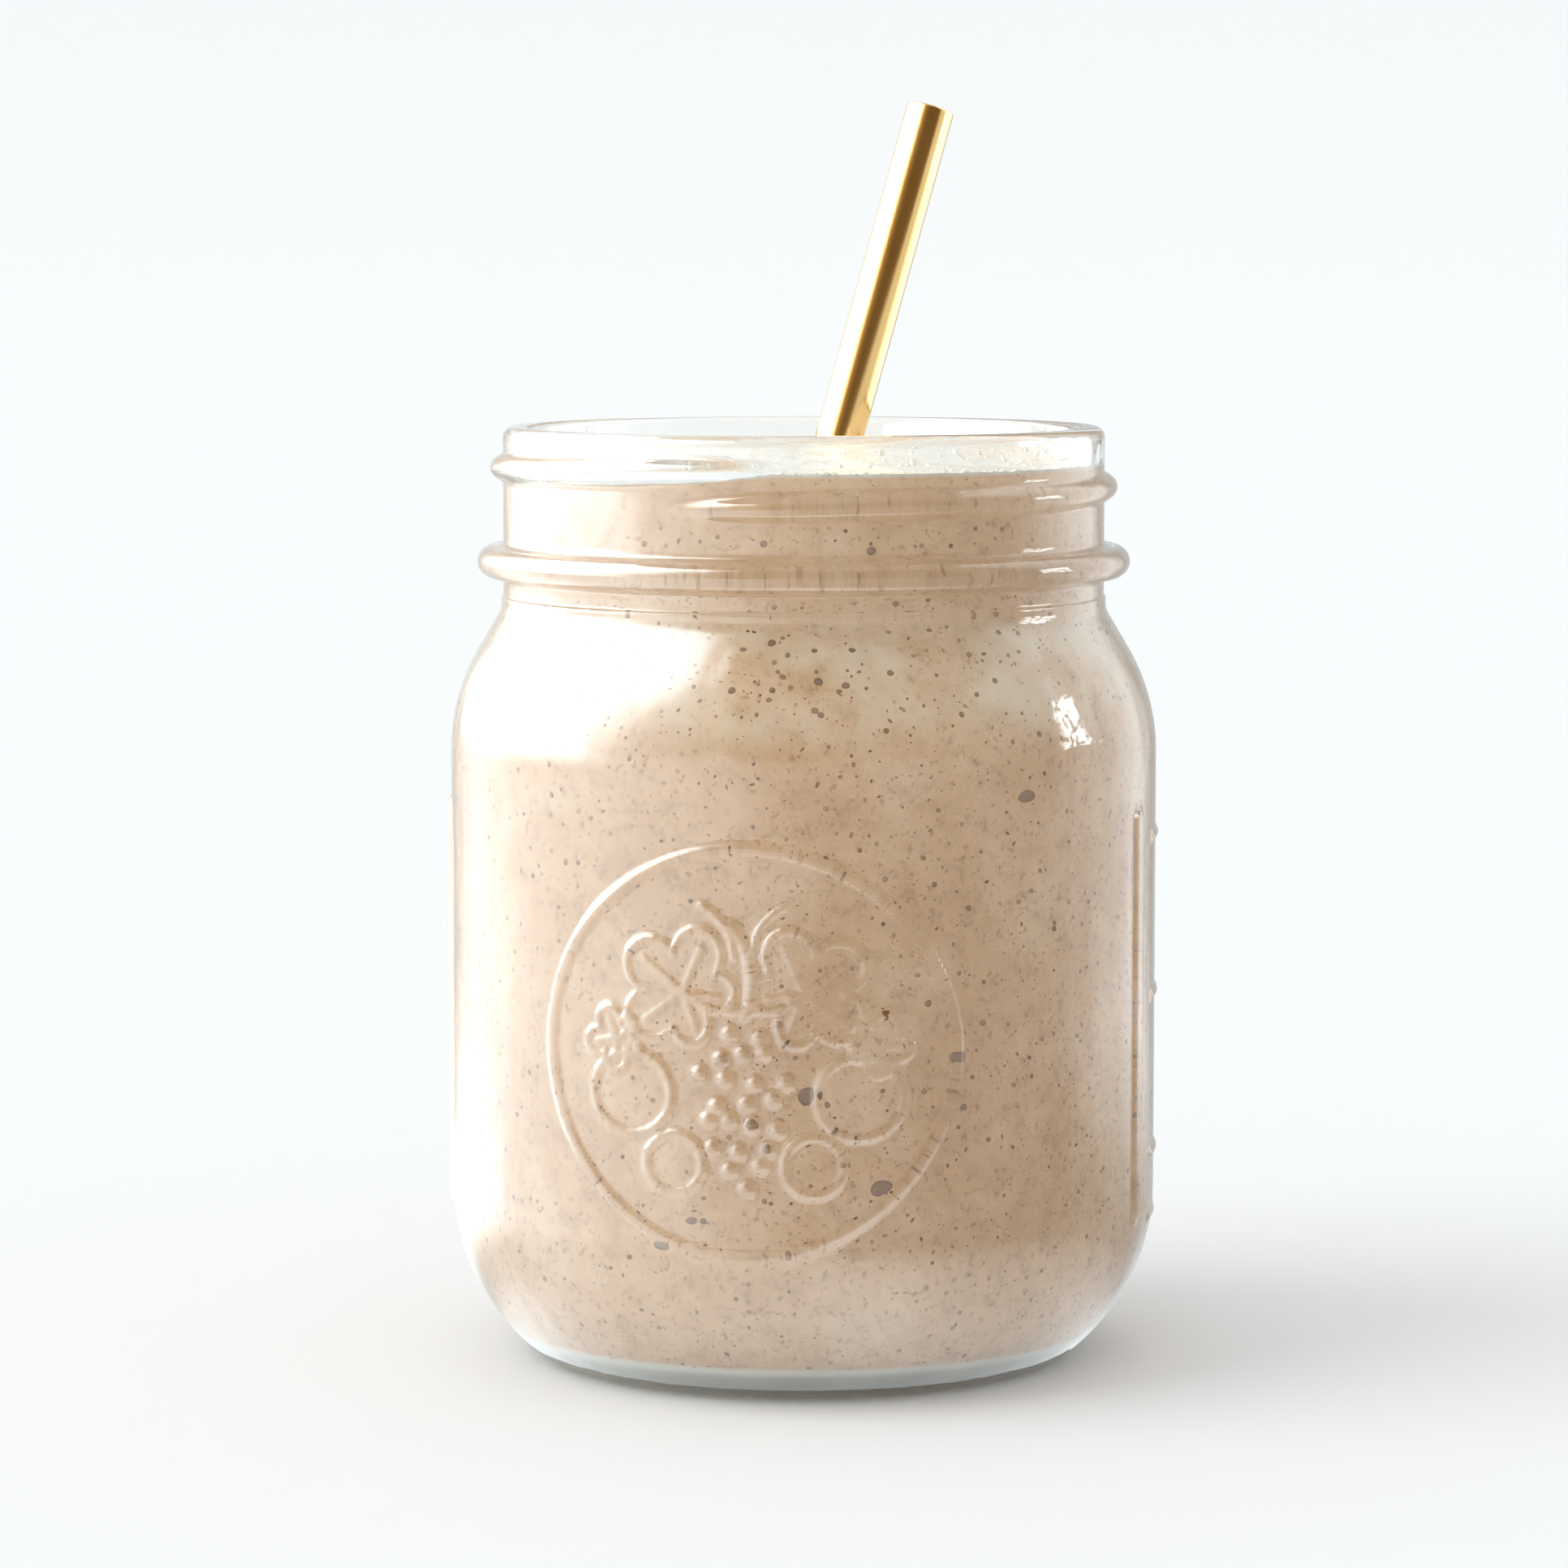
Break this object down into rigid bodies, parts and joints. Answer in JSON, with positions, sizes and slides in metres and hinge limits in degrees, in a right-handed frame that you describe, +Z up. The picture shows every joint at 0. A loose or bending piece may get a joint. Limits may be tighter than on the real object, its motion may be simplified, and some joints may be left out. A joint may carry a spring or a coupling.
{
  "type": "milkshake in a canning jar",
  "caption": "Beige milkshake with brown specks in a clear screw-top glass canning jar with a fruit relief, and a gold-coloured metal straw leaning on the rim.",
  "frame": {"origin": "centre of the jar's foot ring, on the surface that it stands on", "axes": "+Z up along the jar's axis; the medallion faces -Y, turned a little towards -X; the straw leans towards +X and +Y"},
  "size_m": [0.0873, 0.0873, 0.1544],
  "materials": {
    "glass": "clear, pressed",
    "milkshake": "creamy liquid, soft sheen",
    "gold_metal": "polished, gold-coloured coating on steel"
  },
  "bodies": {
    "root": {"jar": "glass", "milkshake": "milkshake", "straw": "gold_metal"}
  },
  "joints": []
}
